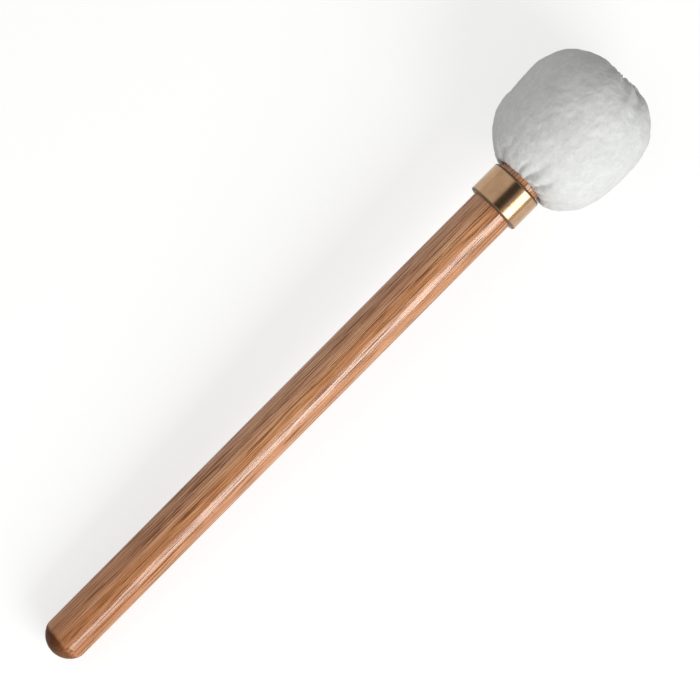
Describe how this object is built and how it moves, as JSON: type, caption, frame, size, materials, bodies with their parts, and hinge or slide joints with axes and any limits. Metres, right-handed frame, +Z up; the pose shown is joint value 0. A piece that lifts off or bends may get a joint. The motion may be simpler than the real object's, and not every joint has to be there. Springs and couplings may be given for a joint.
{
  "type": "bass drum mallet",
  "caption": "Concert bass drum mallet: straight oak handle with a domed butt, a brass collar, and a felt-filled head in a fleece cover gathered at the neck and the crown.",
  "frame": {"origin": "on the table, under the middle of the mallet's bounding box", "axes": "+X from the butt towards the head, +Z up; the mallet lies on its butt and its head, so its own axis leans up 3.84 degrees towards the head; +Y across it"},
  "size_m": [0.38, 0.0668, 0.0676],
  "materials": {
    "oak": "red oak, clear satin lacquer, long open pores",
    "brass": "turned, satin",
    "maple": "turned, bare",
    "steel": "plain zinc-plated",
    "hard_felt": "dense pressed wool felt",
    "soft_felt": "soft needled felt",
    "fleece": "short napped fleece, cool white",
    "thread": "waxed thread"
  },
  "bodies": {
    "root": {"handle_shaft": "oak", "brass_collar": "brass", "head_core": "maple", "core_washer": "steel", "core_screw": "steel", "hard_felt_wrap": "hard_felt", "soft_felt_wrap": "soft_felt", "neck_felt_pad": "soft_felt", "crown_felt_pad": "soft_felt", "fleece_cover": "fleece", "neck_draw_thread": "thread", "crown_draw_thread": "thread"}
  },
  "joints": []
}
